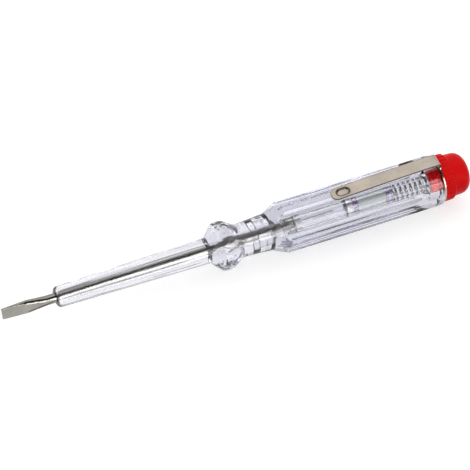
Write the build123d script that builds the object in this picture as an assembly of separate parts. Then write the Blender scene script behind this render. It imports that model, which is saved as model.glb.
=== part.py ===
from build123d import *
import math
import os

# Voltage tester screwdriver, in millimetres.
# The tool's axis is X: the blade's tip is at the origin and the touch contact at the far end.
# +Z is up, towards the pocket clip. A station is a distance from the tip along X.

# General clearances
seat_clearance = 0.02
running_clearance = 0.05
overrun = 1.0

# Blade: a plated rod, flattened and ground to a slotted tip
blade_exposed = 15.5
rod_diameter = 2.8
tip_width = 3.0
tip_thickness = 0.55
flare_width = 4.0
flare_station = 7.25
flare_round_share = 0.8
flare_end = 12.8
grind_length = 14.2
blade_roll = 17.5
ear_span = 4.4
ear_thickness = 1.5
ear_length = 2.6
ear_taper_share = 0.3
rod_projection = 3.15
rod_end_round = 0.6

# Clear sleeve with the guard bead and its spigot
sleeve_length = 45.2
sleeve_front_diameter = 5.95
sleeve_rear_diameter = 7.35
sleeve_nose_round = 1.2
bead_diameter = 13.9
bead_front_length = 3.2
bead_crown_length = 2.6
bead_rear_length = 3.3
bead_front_round = 2.0
bead_rear_round = 3.0
bead_root_round = 1.5
guard_neck_length = 4.7
guard_neck_diameter = 9.7
seam_diameter = 10.0
seam_chamfer = 0.2
spigot_diameter = 7.9

# Clear fluted handle
handle_neck_length = 4.4
handle_neck_diameter = 10.7
shoulder_length = 4.6
shoulder_round = 0.8
handle_diameter = 14.85
grip_length = 45.5
collar_length = 5.45
collar_taper_length = 1.65
collar_drop = 0.5
collar_round = 1.225
handle_end_round = 0.4
flute_count = 8
flute_share = 0.5
flute_depth = 0.72
land_flat_share = 0.84
web_length = 1.6
works_bore = 4.6
bore_end_round = 0.8

# Glow lamp
lamp_length = 17.6
lamp_diameter = 4.0
lamp_wall = 0.45
lamp_cap_diameter = 4.3
lamp_cap_length = 1.9
lamp_cap_end = 0.4
electrode_diameter = 0.6
electrode_offset = 0.7
electrode_share = 0.68

# Series resistor
resistor_length = 12.1
resistor_diameter = 3.1
resistor_cap_diameter = 3.7
resistor_cap_length = 1.7
resistor_cap_end = 0.35
resistor_edge_round = 0.25

# Contact spring
spring_diameter = 4.1
spring_wire = 0.45
spring_end_pitch = 0.95
spring_end_quarters = 4
spring_middle_quarters = 22
arc_samples = 4

# Pocket clip
sheet_thickness = 0.35
clip_ring_drop = 0.65
clip_turn = 4.5
clip_reach = 33.4
clip_rear_width = 4.1
clip_front_width = 4.1
clip_corner_round = 1.75
clip_rear_rise = 1.15
clip_bend_radius = 0.55
clip_land_gap = 0.05
dimple_length = 4.3
dimple_width = 2.85
dimple_depth = 0.22
dimple_margin = 1.5
dimple_wall_share = 0.6

# Red screw cap, each drop taken from the diameter in front of it
thread_diameter = 6.8
thread_pitch = 1.0
thread_turns = 3
cap_length = 8.75
cap_front_drop = 0.85
cap_rim_length = 0.55
cap_rib_length = 2.4
cap_rib_drop = 0.2
cap_rib_slope = 0.5
cap_body_drop = 1.2
cap_rear_drop = 0.4
cap_rear_land = 0.2
rib_count = 24
rib_groove_share = 0.48
rib_groove_depth = 0.4

# Touch contact, riveted through the cap
shank_diameter = 2.4
flange_diameter = 4.3
flange_thickness = 0.8
head_diameter = 5.2
head_thickness = 0.9
head_proud = 0.15
head_round = 0.3

# Stations and radii that follow from the sizes above
rod_radius = rod_diameter / 2
bore_radius = rod_radius + seat_clearance
bead_front = blade_exposed + sleeve_length
crown_front = bead_front + bead_front_length
crown_rear = crown_front + bead_crown_length
bead_rear = crown_rear + bead_rear_length
seam = bead_rear + guard_neck_length
neck_rear = seam + handle_neck_length
shoulder_rear = neck_rear + shoulder_length
handle_end = shoulder_rear + grip_length + collar_taper_length
flute_end = handle_end - collar_length
handle_radius = handle_diameter / 2
handle_end_diameter = handle_diameter - collar_drop
clip_ring_diameter = handle_end_diameter - clip_ring_drop
clip_foot_radius = clip_ring_diameter / 2 + sheet_thickness
clip_rear_height = handle_radius + clip_rear_rise
clip_front_height = handle_radius + clip_land_gap + dimple_depth + sheet_thickness
cap_front_diameter = handle_end_diameter - cap_front_drop
cap_rib_rear_diameter = cap_front_diameter - cap_rib_drop
cap_body_diameter = cap_rib_rear_diameter - cap_body_drop
cap_rear_diameter = cap_body_diameter - cap_rear_drop
head_recess_radius = head_diameter / 2 + running_clearance
cap_rear_round = cap_rear_diameter / 2 - head_recess_radius - cap_rear_land
ear_front = neck_rear + seat_clearance
ear_rear = ear_front + ear_length
bore_front = ear_rear + web_length
rod_end = bore_front + rod_projection
lamp_front = rod_end + seat_clearance
lamp_rear = lamp_front + lamp_length
resistor_front = lamp_rear
resistor_rear = resistor_front + resistor_length
thread_length = thread_pitch * thread_turns
plug_front = handle_end - thread_length
flange_rear = plug_front - running_clearance
flange_front = flange_rear - flange_thickness
thread_bore_radius = thread_diameter / 2 + running_clearance
ring_front = handle_end + running_clearance
ring_rear = ring_front + sheet_thickness
cap_front = ring_rear + running_clearance
cap_rear = cap_front + cap_length
tool_end = cap_rear + head_proud
clip_front = ring_rear - clip_reach
dimple_middle = clip_front + dimple_margin + dimple_length / 2


def turned(outline, rounds=None):
    """Solid of revolution about the tool's axis from corners of station and radius."""
    corners = [(station, 0, radius) for station, radius in outline]
    if rounds is None:
        edge = Polyline(*corners, close=True)
    else:
        edge = FilletPolyline(*corners, radius=rounds, close=True)
    return revolve(make_face(edge), Axis.X)


def tube(front, rear, outer_radius, inner_radius=0):
    """Plain round bar, or a tube where an inner radius is given."""
    return turned([(front, inner_radius), (front, outer_radius), (rear, outer_radius), (rear, inner_radius)])


def around(solid, count, start=0):
    """The solid and its copies, evenly spaced about the tool's axis."""
    return [Rot(X=start + 360 * index / count) * solid for index in range(count)]


def flute_cutter(front, rear):
    """Ball-ended cutter for one flute at the top of the handle."""
    half_angle = math.radians(180 * flute_share / flute_count)
    floor_radius = handle_radius - flute_depth
    half_chord = handle_radius * math.sin(half_angle)
    sagitta = handle_radius * math.cos(half_angle) - floor_radius
    cutter_radius = (half_chord ** 2 + sagitta ** 2) / (2 * sagitta)
    height = floor_radius + cutter_radius
    bar = Pos(front, 0, height) * extrude(Plane.YZ * Circle(cutter_radius), rear - cutter_radius - front)
    return bar + Pos(rear - cutter_radius, 0, height) * Sphere(cutter_radius)


def flutes(front, rear):
    """The eight flutes, half a pitch off the top land."""
    return around(flute_cutter(front, rear), flute_count, 180 / flute_count)


# Blade
def make_blade():
    rod = turned(
        [(flare_end, 0), (flare_end, rod_radius), (rod_end, rod_radius), (rod_end, 0)],
        [0, 0, rod_end_round, 0],
    )
    stations = [0, flare_station, flare_end]
    widths = [tip_width, flare_width, rod_diameter]
    heights = [rod_diameter, rod_diameter * flare_round_share, rod_diameter]
    outlines = [
        Plane.YZ.offset(station) * Ellipse(width / 2, height / 2)
        for station, width, height in zip(stations, widths, heights)
    ]
    blank = loft(outlines[:2], ruled=True) + loft(outlines[1:], ruled=True)
    ear_taper = ear_length * ear_taper_share
    ear_outline = Polyline(
        (ear_front, rod_radius),
        (ear_front + ear_taper, ear_span / 2),
        (ear_rear - ear_taper, ear_span / 2),
        (ear_rear, rod_radius),
        (ear_rear, -rod_radius),
        (ear_rear - ear_taper, -ear_span / 2),
        (ear_front + ear_taper, -ear_span / 2),
        (ear_front, -rod_radius),
        close=True,
    )
    ears = extrude(make_face(ear_outline), ear_thickness / 2, both=True)
    ground = Polyline(
        (-overrun, 0, tip_thickness / 2),
        (0, 0, tip_thickness / 2),
        (grind_length, 0, rod_radius),
        (grind_length, 0, flare_width),
        (-overrun, 0, flare_width),
        close=True,
    )
    grind = extrude(make_face(ground), flare_width, both=True)
    blade = rod + blank + ears - grind - mirror(grind, Plane.XY)
    return Rot(X=90 - blade_roll) * blade


# Sleeve with guard bead
def make_blade_sleeve():
    sleeve = turned(
        [
            (blade_exposed, bore_radius),
            (blade_exposed, sleeve_front_diameter / 2),
            (bead_front, sleeve_rear_diameter / 2),
            (crown_front, bead_diameter / 2),
            (crown_rear, bead_diameter / 2),
            (bead_rear, guard_neck_diameter / 2),
            (seam - seam_chamfer, seam_diameter / 2),
            (seam, seam_diameter / 2 - seam_chamfer),
            (seam, spigot_diameter / 2),
            (neck_rear, spigot_diameter / 2),
            (neck_rear, bore_radius),
        ],
        [0, sleeve_nose_round, 0, bead_front_round, bead_rear_round, bead_root_round, 0, 0, 0, seam_chamfer, 0],
    )
    return sleeve - flutes(blade_exposed, shoulder_rear)


# Handle
def make_handle():
    outside = turned(
        [
            (seam, spigot_diameter / 2 + seat_clearance),
            (seam, seam_diameter / 2 - seam_chamfer),
            (seam + seam_chamfer, seam_diameter / 2),
            (neck_rear, handle_neck_diameter / 2),
            (shoulder_rear, handle_radius),
            (handle_end - collar_taper_length, handle_radius),
            (handle_end, handle_end_diameter / 2),
            (handle_end, thread_bore_radius + seam_chamfer),
            (handle_end - seam_chamfer, thread_bore_radius),
            (flange_front, thread_bore_radius),
            (flange_front - thread_bore_radius + works_bore / 2, works_bore / 2),
            (bore_front, works_bore / 2),
            (bore_front, bore_radius),
            (neck_rear, bore_radius),
            (neck_rear, spigot_diameter / 2 + seat_clearance),
        ],
        [0, 0, 0, shoulder_round, shoulder_round, collar_round]
        + [handle_end_round, 0, 0, 0, 0, bore_end_round, 0, 0, 0],
    )
    ear_room = Box(
        ear_length + seat_clearance * 2,
        ear_span + seat_clearance * 2,
        ear_thickness + seat_clearance * 2,
    )
    ear_slot = Rot(X=90 - blade_roll) * Pos((ear_front + ear_rear) / 2, 0, 0) * ear_room
    flat_half_angle = math.radians(180 * (1 - flute_share) / flute_count) * land_flat_share
    flat_height = handle_radius * math.cos(flat_half_angle)
    corner_radius = flat_height / math.cos(math.pi / flute_count)
    octagon = Plane.YZ.offset(seam - overrun) * RegularPolygon(corner_radius, flute_count)
    prism = Rot(X=180 / flute_count) * extrude(octagon, handle_end - seam + overrun * 2)
    return (outside & prism) - flutes(seam, flute_end) - ear_slot


# Glow lamp
def make_lamp_glass():
    front = lamp_front + lamp_cap_end + seat_clearance
    rear = lamp_rear - lamp_cap_end - seat_clearance
    return tube(front, rear, lamp_diameter / 2 - seat_clearance, lamp_diameter / 2 - lamp_wall)


def cup(front, rear, end, outer_radius, inner_radius, edge_round):
    """Pressed contact cap, closed at its front."""
    return turned(
        [
            (front, 0),
            (front, outer_radius),
            (rear, outer_radius),
            (rear, inner_radius),
            (front + end, inner_radius),
            (front + end, 0),
        ],
        [0, edge_round, 0, 0, 0, 0],
    )


def turned_round(solid, front, rear):
    """The same solid, end for end between two stations."""
    return mirror(solid, Plane.YZ.offset((front + rear) / 2))


def make_lamp_cap():
    rear = lamp_front + lamp_cap_length
    return cup(lamp_front, rear, lamp_cap_end, lamp_cap_diameter / 2, lamp_diameter / 2, lamp_cap_end / 2)


def make_electrode():
    front = lamp_front + lamp_cap_end
    reach = (lamp_length - lamp_cap_end * 2) * electrode_share
    wire = extrude(Plane.YZ.offset(front) * Circle(electrode_diameter / 2), reach)
    return Pos(0, 0, electrode_offset) * wire


# Series resistor
def make_resistor_body():
    front = resistor_front + resistor_cap_end
    rear = resistor_rear - resistor_cap_end
    return tube(front, rear, resistor_diameter / 2)


def make_resistor_cap():
    return cup(
        resistor_front,
        resistor_front + resistor_cap_length,
        resistor_cap_end,
        resistor_cap_diameter / 2,
        resistor_diameter / 2,
        resistor_edge_round,
    )


# Contact spring
def spring_path():
    """Points and directions of the wire's centre line at each quarter turn."""
    front = resistor_rear + spring_wire / 2 + seat_clearance
    rear = flange_front - spring_wire / 2 - running_clearance
    end_rise = spring_end_pitch * spring_end_quarters / 4
    middle_rise = rear - front - end_rise * 2
    rises = [spring_end_pitch / 4] * spring_end_quarters
    rises += [middle_rise / spring_middle_quarters] * spring_middle_quarters
    rises += [spring_end_pitch / 4] * spring_end_quarters
    radius = (spring_diameter - spring_wire) / 2
    points = []
    directions = []
    station = front
    for index in range(len(rises) + 1):
        angle = index * math.pi / 2
        before = rises[max(index - 1, 0)]
        after = rises[min(index, len(rises) - 1)]
        climb = (before + after) / math.pi
        points.append(Vector(station, -radius * math.sin(angle), radius * math.cos(angle)))
        direction = Vector(climb, -radius * math.cos(angle), -radius * math.sin(angle))
        directions.append(direction.normalized())
        station += after
    return points, directions


def biarc(start, start_direction, end, end_direction):
    """Two tangent arcs that leave and arrive in the given directions."""
    span = end - start
    both = start_direction + end_direction
    square = 2 * (1 - start_direction.dot(end_direction))
    linear = span.dot(both)
    root = math.sqrt(linear ** 2 + square * span.dot(span))
    reach = (root - linear) / square
    first = start + start_direction * reach
    second = end - end_direction * reach
    middle = (first + second) / 2
    return [
        Edge.make_tangent_arc(start, start_direction, middle),
        Edge.make_tangent_arc(middle, second - first, end),
    ]


def make_contact_spring():
    points, directions = spring_path()
    edges = []
    for index in range(len(points) - 1):
        edges += biarc(points[index], directions[index], points[index + 1], directions[index + 1])
    samples = [edge @ (index / arc_samples) for edge in edges for index in range(arc_samples)]
    half_turn = arc_samples * 4
    least = min(
        (samples[j] - samples[i]).length
        for i in range(len(samples))
        for j in range(i + half_turn, len(samples))
    )
    print("least gap between the spring's turns", round(least - spring_wire, 3), "mm")
    section = Plane(origin=points[0], z_dir=directions[0]) * Circle(spring_wire / 2)
    return sweep(section, path=Wire(edges))


# Touch contact
def make_touch_contact():
    head_front = tool_end - head_thickness
    return turned(
        [
            (flange_front, 0),
            (flange_front, flange_diameter / 2),
            (flange_rear, flange_diameter / 2),
            (flange_rear, shank_diameter / 2),
            (head_front, shank_diameter / 2),
            (head_front, head_diameter / 2),
            (tool_end, head_diameter / 2),
            (tool_end, 0),
        ],
        [0, flange_thickness / 4, 0, 0, 0, 0, head_round, 0],
    )


# Red screw cap
def make_cap():
    rib_front = cap_front + cap_rim_length
    rib_rear = rib_front + cap_rib_length
    shank_bore = shank_diameter / 2 + running_clearance
    head_floor = tool_end - head_thickness - running_clearance
    body = turned(
        [
            (plug_front, shank_bore),
            (plug_front, thread_diameter / 2 - seam_chamfer),
            (plug_front + seam_chamfer, thread_diameter / 2),
            (cap_front, thread_diameter / 2),
            (cap_front, cap_front_diameter / 2),
            (rib_rear, cap_rib_rear_diameter / 2),
            (rib_rear + cap_rib_slope, cap_body_diameter / 2),
            (cap_rear, cap_rear_diameter / 2),
            (cap_rear, head_recess_radius),
            (head_floor, head_recess_radius),
            (head_floor, shank_bore),
        ],
        [0, 0, 0, 0, head_round, head_round, head_round, cap_rear_round, 0, 0, 0],
    )
    pitch = math.pi * cap_front_diameter / rib_count
    floor_radius = cap_front_diameter / 2 - rib_groove_depth
    groove = Box(
        cap_rib_length + cap_rib_slope,
        pitch * rib_groove_share,
        cap_front_diameter / 2 - floor_radius + overrun,
        align=(Align.MIN, Align.CENTER, Align.MIN),
    )
    return body - around(Pos(rib_front, 0, floor_radius) * groove, rib_count)


# Pocket clip
def make_clip_ring():
    ring = tube(ring_front, ring_rear, clip_ring_diameter / 2, thread_bore_radius + running_clearance)
    tab = Box(
        sheet_thickness,
        clip_rear_width,
        clip_foot_radius,
        align=(Align.MIN, Align.CENTER, Align.MIN),
    )
    tab = Pos(ring_front, 0, 0) * tab - tube(ring_front, ring_rear, clip_ring_diameter / 2 - sheet_thickness)
    return Rot(X=clip_turn) * (ring + tab)


def clip_height(station):
    """Height of the arm's upper face at a station."""
    share = (station - clip_front) / clip_reach
    return clip_front_height + (clip_rear_height - clip_front_height) * share


def make_clip_arm():
    outer_round = clip_bend_radius + sheet_thickness
    side = FilletPolyline(
        (ring_rear, 0, clip_foot_radius + seat_clearance),
        (ring_rear, 0, clip_height(ring_rear)),
        (clip_front, 0, clip_height(clip_front)),
        (clip_front, 0, clip_height(clip_front) - sheet_thickness),
        (ring_front, 0, clip_height(ring_front) - sheet_thickness),
        (ring_front, 0, clip_foot_radius + seat_clearance),
        radius=[0, outer_round, 0, 0, clip_bend_radius, 0],
        close=True,
    )
    strip = extrude(make_face(side), clip_rear_width, both=True)
    plan = FilletPolyline(
        (ring_rear + overrun, clip_rear_width / 2),
        (ring_front, clip_rear_width / 2),
        (clip_front, clip_front_width / 2),
        (clip_front, -clip_front_width / 2),
        (ring_front, -clip_rear_width / 2),
        (ring_rear + overrun, -clip_rear_width / 2),
        radius=[0, 0, clip_corner_round, clip_corner_round, 0, 0],
        close=True,
    )
    strip = strip & extrude(make_face(plan), clip_rear_height + overrun)
    floor = clip_height(dimple_middle) - sheet_thickness - dimple_depth
    wall = sheet_thickness * dimple_wall_share
    bulge = Pos(dimple_middle, 0, floor) * extrude(
        SlotOverall(dimple_length, dimple_width), dimple_depth + sheet_thickness / 2
    )
    hollow = Pos(dimple_middle, 0, floor + sheet_thickness) * extrude(
        SlotOverall(dimple_length - wall * 2, dimple_width - wall * 2), dimple_depth + overrun
    )
    return Rot(X=clip_turn) * (strip + bulge - hollow)


lamp_cap = make_lamp_cap()
electrode = make_electrode()
resistor_cap = make_resistor_cap()

nodes = {
    "blade": make_blade(),
    "blade_sleeve": make_blade_sleeve(),
    "handle": make_handle(),
    "lamp_front_cap": lamp_cap,
    "lamp_glass": make_lamp_glass(),
    "lamp_front_electrode": electrode,
    "lamp_rear_electrode": Rot(X=180) * turned_round(electrode, lamp_front, lamp_rear),
    "lamp_rear_cap": turned_round(lamp_cap, lamp_front, lamp_rear),
    "resistor_front_cap": resistor_cap,
    "resistor_body": make_resistor_body(),
    "resistor_rear_cap": turned_round(resistor_cap, resistor_front, resistor_rear),
    "contact_spring": make_contact_spring(),
    "touch_contact": make_touch_contact(),
    "cap": make_cap(),
    "clip_ring": make_clip_ring(),
    "clip_arm": make_clip_arm(),
}

os.makedirs("parts", exist_ok=True)
for name, solid in nodes.items():
    export_step(solid, "parts/" + name + ".step")
    print(name, round(solid.volume, 2), "mm3,", len(solid.solids()), "solid")
print("overall length", round(tool_end, 2), "mm")
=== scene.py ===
"""Voltage tester screwdriver: the visible model, built around the packed CAD part."""

import math

import bpy
import numpy as np
from bpy.props import FloatProperty, FloatVectorProperty, IntProperty, PointerProperty
from bpy.types import Operator, Panel, PropertyGroup
from mathutils import Matrix, Vector


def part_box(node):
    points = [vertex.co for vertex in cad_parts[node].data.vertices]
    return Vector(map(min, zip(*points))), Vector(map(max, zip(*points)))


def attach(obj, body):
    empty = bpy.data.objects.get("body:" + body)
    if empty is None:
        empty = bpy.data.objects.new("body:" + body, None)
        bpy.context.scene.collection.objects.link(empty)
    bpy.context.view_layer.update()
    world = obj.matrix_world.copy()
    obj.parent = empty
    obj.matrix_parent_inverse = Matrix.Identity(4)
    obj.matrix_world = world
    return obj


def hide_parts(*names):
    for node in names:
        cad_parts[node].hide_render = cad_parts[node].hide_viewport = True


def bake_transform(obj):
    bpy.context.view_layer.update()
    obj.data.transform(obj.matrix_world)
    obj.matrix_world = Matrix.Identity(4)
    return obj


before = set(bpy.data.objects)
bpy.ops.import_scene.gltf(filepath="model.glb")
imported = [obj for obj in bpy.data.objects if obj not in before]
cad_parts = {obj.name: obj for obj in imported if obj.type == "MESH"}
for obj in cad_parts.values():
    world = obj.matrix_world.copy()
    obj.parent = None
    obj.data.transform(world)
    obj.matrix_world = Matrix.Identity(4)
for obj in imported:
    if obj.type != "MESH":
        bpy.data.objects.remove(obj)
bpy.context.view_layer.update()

bl_info = {
    "name": "Voltage Tester",
    "version": (1, 0, 0),
    "blender": (4, 5, 0),
    "location": "View3D > Sidebar > Tester",
    "description": "Builds a clear voltage tester screwdriver with its works, cap and pocket clip",
    "category": "Object",
}

MM = 0.001
TAU = math.tau
# Millimetres of play between pieces that are seated, and between pieces that run in each other
SEAT = 0.02
RUNNING = 0.05


# Look of each material slot
LOOKS = {
    "blade_steel": "satin_steel",
    "clear_plastic": "clear_moulding",
    "lamp_glass": "tube_glass",
    "plated_contact": "tinned_brass",
    "violet_contact": "violet_lacquer",
    "resistor_ceramic": "glazed_ceramic",
    "spring_steel": "drawn_steel",
    "red_plastic": "red_moulding",
    "clip_nickel": "satin_nickel",
}


# Settings
def length(name, description, default_mm):
    """A length property, with its default given in millimetres."""
    return FloatProperty(
        name=name,
        description=description,
        default=default_mm * MM,
        min=0.0,
        precision=5,
        unit="LENGTH",
    )


def station(name, description, default_mm):
    """A distance from the blade's tip along the tool."""
    return length(name, description + ", from the blade's tip", default_mm)


def colour(name, description, default):
    """A colour property."""
    return FloatVectorProperty(
        name=name, description=description, default=default, size=3, min=0.0, max=1.0, subtype="COLOR"
    )


def level(name, description, default):
    """A brightness, one for white."""
    return FloatProperty(name=name, description=description, default=default, min=0.0, soft_max=10.0)


def share(name, description, default):
    """A share between nothing and all."""
    return FloatProperty(
        name=name, description=description, default=default, min=0.0, max=1.0, subtype="FACTOR"
    )


def bearing(name, description, default_degrees):
    """An angle property, with its default given in degrees."""
    return FloatProperty(
        name=name, description=description, default=math.radians(default_degrees), subtype="ANGLE"
    )


def count(name, description, default, least):
    """A whole number with a least value."""
    return IntProperty(name=name, description=description, default=default, min=least)


class StageSettings(PropertyGroup):
    """Camera, floor and light"""

    azimuth: bearing("Azimuth", "Camera's turn about the vertical", -23.7)
    elevation: bearing("Elevation", "Camera's height angle", 45.0)
    distance: length("Distance", "From the camera to the tool", 1000.0)
    view_width: length("View width", "Width that the picture takes in at the tool", 130.2)
    aim_x: station("Aim along the tool", "Point of the tool's axis that the camera aims at", 69.1)
    aim_up: length("Aim above the axis", "How far over that point the camera aims, in the picture", 1.90)
    floor_size: length("Floor size", "Width of the floor", 1100.0)
    ceiling: level("Ceiling", "Brightness of the pale ceiling behind the tool", 0.8)
    dark: level("Dark band", "Brightness of the dark wall between ceiling and front soft box", 0.06)
    front_box: level("Front box", "Brightness of the soft box low on the camera's side", 5.0)
    fill: level("Fill", "Plain light from all around", 0.85)
    paper: level("Paper", "Brightness that the floor has of its own where it is seen", 0.62)
    paper_tone: share("Paper tone", "Share of the light that the floor gives back", 0.55)
    key_power: FloatProperty(
        name="Key light", description="Power of the box over the tool", default=0.5, min=0.0, unit="POWER"
    )


class HandleSettings(PropertyGroup):
    """Clear grip, and the flutes that it shares with the sleeve's bead"""

    columns: count("Columns", "Faces around the grip", 256, 64)
    flutes: count("Flutes", "Flutes around the grip", 8, 2)
    grip_radius: length("Grip radius", "Outer radius of the grip", 7.425)
    flute_depth: length("Flute depth", "Depth of a flute under the grip's radius", 0.72)
    flute_share: share("Flute share", "Part of the pitch that a flute takes", 0.5)
    flute_end: station("Flute end", "Rear end of the flutes", 125.2)
    land_height: length("Land height", "Height of the flat lands over the axis", 7.3243)
    edge_softness: length("Edge softness", "How far the edges of the flutes are rounded", 0.30)
    crowding: share("Edge crowding", "How much the columns crowd at the flutes' edges", 0.6)
    seam_radius: length("Seam radius", "Radius where the sleeve meets the grip", 5.0)
    neck_radius: length("Neck radius", "Radius at the rear of the neck", 5.35)
    shoulder: length("Shoulder", "Length of the slope from the neck to the grip", 4.6)
    collar: length("Collar", "Length of the grip's domed rear", 1.65)
    collar_drop: length("Collar drop", "How much lower the rear is than the grip", 0.25)
    socket_radius: length("Socket radius", "Radius of the socket for the sleeve's spigot", 3.97)
    web: length("Web", "Thickness of the wall between socket and bore", 4.2)
    rod_bore: length("Rod bore", "Radius of the hole for the rod", 1.42)
    works_bore: length("Works bore", "Radius of the bore for lamp and spring", 2.3)
    plug_bore: length("Plug bore", "Radius of the bore for the cap's plug", 3.45)
    streak_height: length("Streaks", "Height of the mould's long streaks on the grip", 0.12)
    dent_height: length("Dents", "Height of the uneven skin of the bead", 0.8)
    tint: colour("Plastic tint", "Tint of the clear plastic", (0.97, 0.97, 0.99))
    depth_tint: colour("Depth tint", "What thick plastic lets through", (0.72, 0.72, 0.78))


class SleeveSettings(PropertyGroup):
    """Clear sleeve of the blade, with its guard bead"""

    nose_radius: length("Nose radius", "Radius at the sleeve's front", 2.975)
    root_radius: length("Root radius", "Radius where the sleeve meets the bead", 3.675)
    bead_front: station("Bead front", "Front of the bead", 60.7)
    crown_front: station("Crown front", "Front of the bead's crown", 63.9)
    crown_rear: station("Crown rear", "Rear of the bead's crown", 66.5)
    bead_rear: station("Bead rear", "Rear of the bead", 69.8)
    bead_radius: length("Bead radius", "Radius of the bead's crown", 6.95)
    neck_radius: length("Neck radius", "Radius of the neck behind the bead", 4.85)
    spigot_radius: length("Spigot radius", "Radius of the spigot in the grip", 3.95)


class BladeSettings(PropertyGroup):
    """Plated blade"""

    rod_radius: length("Rod radius", "Radius of the round rod", 1.4)
    tip_width: length("Tip width", "Width of the slotted tip", 3.0)
    tip_thickness: length("Tip thickness", "Thickness of the slotted tip", 0.55)
    flare_width: length("Flare width", "Greatest width of the flattened part", 4.0)
    flare_thickness: length("Flare thickness", "Thickness there, before grinding", 2.24)
    flare: station("Flare", "Place of the greatest width", 7.25)
    flare_end: station("Flare end", "Where the rod is round again", 12.8)
    grind: length("Grind", "Length of the two ground faces", 14.2)
    roll: bearing("Roll", "Turn of the blade about the tool", 17.5)
    ear_length: length("Ear length", "Length of the pressed ears that key the rod", 2.6)
    ear_reach: length("Ear reach", "Height of the ears over the axis", 2.2)
    ear_thickness: length("Ear thickness", "Thickness of the ears", 1.5)
    steel: colour("Steel", "Colour of the plated steel", (0.31, 0.297, 0.273))


class CapSettings(PropertyGroup):
    """Red screw cap and the contact in it"""

    red: colour("Red", "Colour of the cap", (0.72, 0.003, 0.004))
    rim_radius: length("Rim radius", "Radius of the cap's front rim", 6.75)
    rib_length: length("Ribbed length", "Length of the rim with the ribs", 2.95)
    ribs: count("Ribs", "Grip ribs around the cap", 24, 3)
    groove_floor: length("Groove floor", "Radius at the floor of the grooves between ribs", 6.35)
    body_radius: length("Body radius", "Radius of the cap behind the ribs", 6.05)
    rear_round: length("Rear round", "Round of the cap's rear edge", 3.0)
    plug_radius: length("Plug radius", "Outer radius of the thread", 3.4)
    thread_pitch: length("Thread pitch", "Rise of the thread in a turn", 1.0)
    thread_depth: length("Thread depth", "Depth of the thread", 0.32)
    shank_radius: length("Shank radius", "Radius of the contact's shank", 1.2)
    flange_radius: length("Flange radius", "Radius of the contact's inner flange", 2.15)
    head_radius: length("Head radius", "Radius of the contact's outer face", 2.6)


class ClipSettings(PropertyGroup):
    """Pocket clip"""

    nickel: colour("Nickel", "Colour of the plated clip", (0.50, 0.44, 0.37))
    sheet: length("Sheet", "Thickness of the clip's sheet", 0.35)
    ring_bore: length("Ring bore", "Inner radius of the ring", 3.5)
    ring_radius: length("Ring radius", "Outer radius of the ring", 6.85)
    width: length("Width", "Width of the arm", 4.1)
    top_front: length("Front height", "Height of the arm's front over the axis", 8.045)
    top_rear: length("Rear height", "Height of the arm's rear over the axis", 8.575)
    bend: length("Bend", "Middle radius of the bend down to the ring", 0.725)
    nose: length("Nose", "Round of the arm's front corners", 1.75)
    dimple: station("Dimple", "Middle of the pressed dimple", 101.3)
    dimple_radius: length("Dimple radius", "Half the dimple's width", 1.425)
    dimple_run: length("Dimple run", "Half the straight part of the dimple", 0.725)
    dimple_depth: length("Dimple depth", "Depth of the dimple", 0.34)
    turn: bearing("Turn", "Turn of the clip about the tool", 4.5)
    lean: length("Lean", "How far use has bent the arm's front aside", 0.8)
    # Painted shade: how dark the colour is painted at the clip's rim and at the dimple's wall
    painted_shade_share: share("Painted shade", "How dark the clip's rim and the dimple's wall are", 0.9)


class WorksSettings(PropertyGroup):
    """Lamp, resistor and spring in the bore"""

    tube_radius: length("Tube radius", "Outer radius of the lamp's glass", 1.98)
    tube_bore: length("Tube bore", "Inner radius of the lamp's glass", 1.55)
    lamp_cap: length("Lamp cap", "Outer radius of the lamp's caps", 2.15)
    resistor_cap: length("Resistor cap", "Outer radius of the resistor's caps", 1.85)
    resistor_radius: length("Resistor radius", "Radius of the resistor's body", 1.55)
    electrode_radius: length("Electrode radius", "Radius of the electrode wires", 0.3)
    electrode_offset: length("Electrode offset", "Distance of the wires from the axis", 0.7)
    wire: length("Spring wire", "Diameter of the spring's wire", 0.45)
    coil_radius: length("Coil radius", "Middle radius of the spring", 1.825)
    ceramic: colour("Ceramic", "Colour of the resistor's body", (0.62, 0.66, 0.60))
    violet: colour("Violet", "Colour of the resistor's caps", (0.40, 0.35, 0.45))
    bright: colour("Bright metal", "Colour of the plated contacts", (0.72, 0.71, 0.69))
    dull: colour("Dull wire", "Colour of the electrodes", (0.45, 0.44, 0.43))
    drawn: colour("Drawn steel", "Colour of the spring", (0.36, 0.36, 0.36))


# Modelling
def in_mm(settings, *names):
    """Lengths from a settings group, in millimetres."""
    return [round(getattr(settings, name) / MM, 5) for name in names]


def ends(node):
    """Front and rear station of a packed piece, in millimetres."""
    low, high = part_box(node)
    return round(low.x / MM, 2), round(high.x / MM, 2)


def deselect_all():
    """Object mode with nothing selected."""
    if bpy.context.object is not None and bpy.context.object.mode != "OBJECT":
        bpy.ops.object.mode_set(mode="OBJECT")
    bpy.ops.object.select_all(action="DESELECT")


def make_active(ob):
    """Only this object selected and active."""
    deselect_all()
    ob.select_set(True)
    bpy.context.view_layer.objects.active = ob


def rounded(corners, segments=6):
    """Outline points from corners of station, radius and round, all in millimetres."""
    points = []
    for index, (x, r, fillet) in enumerate(corners):
        here = Vector((x, r))
        if fillet == 0:
            points.append(here)
            continue
        before = Vector(corners[index - 1][:2])
        after = Vector(corners[(index + 1) % len(corners)][:2])
        to_before = (before - here).normalized()
        to_after = (after - here).normalized()
        angle = to_before.angle(to_after)
        reach = fillet / math.tan(angle / 2)
        middle = here + (to_before + to_after).normalized() * fillet / math.sin(angle / 2)
        start = here + to_before * reach - middle
        sweep = start.angle_signed(here + to_after * reach - middle)
        for step in range(segments + 1):
            turn = Matrix.Rotation(-sweep * step / segments, 2)
            points.append(middle + turn @ start)
    return points


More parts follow.
